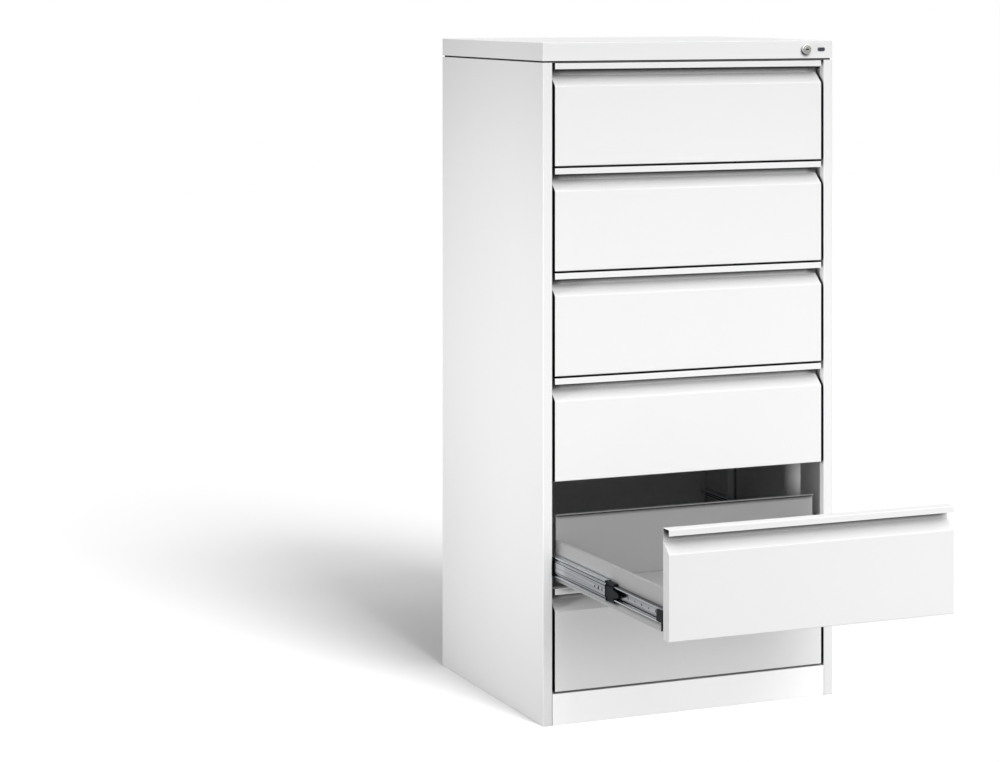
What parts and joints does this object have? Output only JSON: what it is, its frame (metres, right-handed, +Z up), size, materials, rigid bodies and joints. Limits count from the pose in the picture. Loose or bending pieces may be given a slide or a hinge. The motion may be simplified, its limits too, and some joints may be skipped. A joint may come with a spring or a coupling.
{
  "type": "card index filing cabinet",
  "caption": "Tall white steel filing cabinet with full-width drawers on telescopic slides, recessed lip pulls, central lock and plinth; one low drawer stands open.",
  "frame": {"origin": "on the floor, at the centre of the carcass's footprint", "axes": "+X to the right seen from the front, +Y from the front to the back, +Z up; the drawers open towards -Y"},
  "size_m": [0.645, 1.1464, 1.357],
  "materials": {
    "white_coat": "fine-textured white powder coat",
    "zinc": "bright zinc-plated rolled steel",
    "nickel": "satin nickel plating",
    "black_plastic": "moulded black plastic",
    "badge_blue": "blank satin blue-grey plate"
  },
  "bodies": {
    "cabinet": {"left_side_panel": "white_coat", "right_side_panel": "white_coat", "slide_posts": "white_coat", "base_panel": "white_coat", "plinth_front": "white_coat", "back_panel": "white_coat", "top_panel": "white_coat", "top_cover": "white_coat", "cover_stiffeners": "zinc", "back_rivets": "zinc", "levelling_feet": "black_plastic", "slide_cabinet_members": "zinc", "lock_housing": "nickel", "lock_nut": "zinc", "badge": "badge_blue"},
    "drawer_1": {"drawer_1_front": "white_coat", "drawer_1_tray": "white_coat", "drawer_1_slide_inner": "zinc", "drawer_1_end_clips": "black_plastic"},
    "drawer_1_middle_members": {"drawer_1_slide_middle": "zinc"},
    "drawer_1_outer_cage_pair": {"drawer_1_outer_cages": "zinc"},
    "drawer_1_inner_cage_pair": {"drawer_1_inner_cages": "black_plastic"},
    "drawer_2": {"drawer_2_front": "white_coat", "drawer_2_tray": "white_coat", "drawer_2_slide_inner": "zinc", "drawer_2_end_clips": "black_plastic"},
    "drawer_2_middle_members": {"drawer_2_slide_middle": "zinc"},
    "drawer_2_outer_cage_pair": {"drawer_2_outer_cages": "zinc"},
    "drawer_2_inner_cage_pair": {"drawer_2_inner_cages": "black_plastic"},
    "drawer_3": {"drawer_3_front": "white_coat", "drawer_3_tray": "white_coat", "drawer_3_slide_inner": "zinc", "drawer_3_end_clips": "black_plastic"},
    "drawer_3_middle_members": {"drawer_3_slide_middle": "zinc"},
    "drawer_3_outer_cage_pair": {"drawer_3_outer_cages": "zinc"},
    "drawer_3_inner_cage_pair": {"drawer_3_inner_cages": "black_plastic"},
    "drawer_4": {"drawer_4_front": "white_coat", "drawer_4_tray": "white_coat", "drawer_4_slide_inner": "zinc", "drawer_4_end_clips": "black_plastic"},
    "drawer_4_middle_members": {"drawer_4_slide_middle": "zinc"},
    "drawer_4_outer_cage_pair": {"drawer_4_outer_cages": "zinc"},
    "drawer_4_inner_cage_pair": {"drawer_4_inner_cages": "black_plastic"},
    "drawer_5": {"drawer_5_front": "white_coat", "drawer_5_tray": "white_coat", "drawer_5_slide_inner": "zinc", "drawer_5_end_clips": "black_plastic"},
    "drawer_5_middle_members": {"drawer_5_slide_middle": "zinc"},
    "drawer_5_outer_cage_pair": {"drawer_5_outer_cages": "zinc"},
    "drawer_5_inner_cage_pair": {"drawer_5_inner_cages": "black_plastic"},
    "drawer_6": {"drawer_6_front": "white_coat", "drawer_6_tray": "white_coat", "drawer_6_slide_inner": "zinc", "drawer_6_end_clips": "black_plastic"},
    "drawer_6_middle_members": {"drawer_6_slide_middle": "zinc"},
    "drawer_6_outer_cage_pair": {"drawer_6_outer_cages": "zinc"},
    "drawer_6_inner_cage_pair": {"drawer_6_inner_cages": "black_plastic"},
    "lock_turning": {"lock_plug": "nickel", "lock_cam": "zinc"},
    "lock_bar_body": {"lock_bar": "zinc"}
  },
  "joints": [
    {"name": "drawer_1_pull", "type": "slide", "parent": "cabinet", "child": "drawer_1", "axis": [0, -1, 0], "range_m": [0, 0.555]},
    {"name": "drawer_1_middle_members_slide", "type": "slide", "parent": "cabinet", "child": "drawer_1_middle_members", "axis": [0, -1, 0], "range_m": [0, 0.2942]},
    {"name": "drawer_1_outer_cage_pair_slide", "type": "slide", "parent": "cabinet", "child": "drawer_1_outer_cage_pair", "axis": [0, -1, 0], "range_m": [0, 0.1471]},
    {"name": "drawer_1_inner_cage_pair_slide", "type": "slide", "parent": "cabinet", "child": "drawer_1_inner_cage_pair", "axis": [0, -1, 0], "range_m": [0, 0.4246]},
    {"name": "drawer_2_pull", "type": "slide", "parent": "cabinet", "child": "drawer_2", "axis": [0, -1, 0], "range_m": [0, 0.555]},
    {"name": "drawer_2_middle_members_slide", "type": "slide", "parent": "cabinet", "child": "drawer_2_middle_members", "axis": [0, -1, 0], "range_m": [0, 0.2942]},
    {"name": "drawer_2_outer_cage_pair_slide", "type": "slide", "parent": "cabinet", "child": "drawer_2_outer_cage_pair", "axis": [0, -1, 0], "range_m": [0, 0.1471]},
    {"name": "drawer_2_inner_cage_pair_slide", "type": "slide", "parent": "cabinet", "child": "drawer_2_inner_cage_pair", "axis": [0, -1, 0], "range_m": [0, 0.4246]},
    {"name": "drawer_3_pull", "type": "slide", "parent": "cabinet", "child": "drawer_3", "axis": [0, -1, 0], "range_m": [0, 0.555]},
    {"name": "drawer_3_middle_members_slide", "type": "slide", "parent": "cabinet", "child": "drawer_3_middle_members", "axis": [0, -1, 0], "range_m": [0, 0.2942]},
    {"name": "drawer_3_outer_cage_pair_slide", "type": "slide", "parent": "cabinet", "child": "drawer_3_outer_cage_pair", "axis": [0, -1, 0], "range_m": [0, 0.1471]},
    {"name": "drawer_3_inner_cage_pair_slide", "type": "slide", "parent": "cabinet", "child": "drawer_3_inner_cage_pair", "axis": [0, -1, 0], "range_m": [0, 0.4246]},
    {"name": "drawer_4_pull", "type": "slide", "parent": "cabinet", "child": "drawer_4", "axis": [0, -1, 0], "range_m": [0, 0.555]},
    {"name": "drawer_4_middle_members_slide", "type": "slide", "parent": "cabinet", "child": "drawer_4_middle_members", "axis": [0, -1, 0], "range_m": [0, 0.2942]},
    {"name": "drawer_4_outer_cage_pair_slide", "type": "slide", "parent": "cabinet", "child": "drawer_4_outer_cage_pair", "axis": [0, -1, 0], "range_m": [0, 0.1471]},
    {"name": "drawer_4_inner_cage_pair_slide", "type": "slide", "parent": "cabinet", "child": "drawer_4_inner_cage_pair", "axis": [0, -1, 0], "range_m": [0, 0.4246]},
    {"name": "drawer_5_pull", "type": "slide", "parent": "cabinet", "child": "drawer_5", "axis": [0, -1, 0], "range_m": [-0.555, 0]},
    {"name": "drawer_5_middle_members_slide", "type": "slide", "parent": "cabinet", "child": "drawer_5_middle_members", "axis": [0, -1, 0], "range_m": [-0.2942, 0]},
    {"name": "drawer_5_outer_cage_pair_slide", "type": "slide", "parent": "cabinet", "child": "drawer_5_outer_cage_pair", "axis": [0, -1, 0], "range_m": [-0.1471, 0]},
    {"name": "drawer_5_inner_cage_pair_slide", "type": "slide", "parent": "cabinet", "child": "drawer_5_inner_cage_pair", "axis": [0, -1, 0], "range_m": [-0.4246, 0]},
    {"name": "drawer_6_pull", "type": "slide", "parent": "cabinet", "child": "drawer_6", "axis": [0, -1, 0], "range_m": [0, 0.555]},
    {"name": "drawer_6_middle_members_slide", "type": "slide", "parent": "cabinet", "child": "drawer_6_middle_members", "axis": [0, -1, 0], "range_m": [0, 0.2942]},
    {"name": "drawer_6_outer_cage_pair_slide", "type": "slide", "parent": "cabinet", "child": "drawer_6_outer_cage_pair", "axis": [0, -1, 0], "range_m": [0, 0.1471]},
    {"name": "drawer_6_inner_cage_pair_slide", "type": "slide", "parent": "cabinet", "child": "drawer_6_inner_cage_pair", "axis": [0, -1, 0], "range_m": [0, 0.4246]},
    {"name": "lock_turn", "type": "hinge", "parent": "cabinet", "child": "lock_turning", "pos_m": [0.2605, -0.295, 1.339], "axis": [0, 1, 0], "range_deg": [0, 90]},
    {"name": "lock_bar_lift", "type": "slide", "parent": "cabinet", "child": "lock_bar_body", "axis": [0, 0, 1], "range_m": [-0.01697, 0]}
  ],
  "couplings": [
    {"joint": "drawer_1_middle_members_slide", "follows": "drawer_1_pull", "ratio": 0.53},
    {"joint": "drawer_1_outer_cage_pair_slide", "follows": "drawer_1_pull", "ratio": 0.265},
    {"joint": "drawer_1_inner_cage_pair_slide", "follows": "drawer_1_pull", "ratio": 0.765},
    {"joint": "drawer_2_middle_members_slide", "follows": "drawer_2_pull", "ratio": 0.53},
    {"joint": "drawer_2_outer_cage_pair_slide", "follows": "drawer_2_pull", "ratio": 0.265},
    {"joint": "drawer_2_inner_cage_pair_slide", "follows": "drawer_2_pull", "ratio": 0.765},
    {"joint": "drawer_3_middle_members_slide", "follows": "drawer_3_pull", "ratio": 0.53},
    {"joint": "drawer_3_outer_cage_pair_slide", "follows": "drawer_3_pull", "ratio": 0.265},
    {"joint": "drawer_3_inner_cage_pair_slide", "follows": "drawer_3_pull", "ratio": 0.765},
    {"joint": "drawer_4_middle_members_slide", "follows": "drawer_4_pull", "ratio": 0.53},
    {"joint": "drawer_4_outer_cage_pair_slide", "follows": "drawer_4_pull", "ratio": 0.265},
    {"joint": "drawer_4_inner_cage_pair_slide", "follows": "drawer_4_pull", "ratio": 0.765},
    {"joint": "drawer_5_middle_members_slide", "follows": "drawer_5_pull", "ratio": 0.53},
    {"joint": "drawer_5_outer_cage_pair_slide", "follows": "drawer_5_pull", "ratio": 0.265},
    {"joint": "drawer_5_inner_cage_pair_slide", "follows": "drawer_5_pull", "ratio": 0.765},
    {"joint": "drawer_6_middle_members_slide", "follows": "drawer_6_pull", "ratio": 0.53},
    {"joint": "drawer_6_outer_cage_pair_slide", "follows": "drawer_6_pull", "ratio": 0.265},
    {"joint": "drawer_6_inner_cage_pair_slide", "follows": "drawer_6_pull", "ratio": 0.765},
    {"joint": "lock_turn", "follows": "lock_bar_lift", "rad_per_m": -92.56}
  ]
}
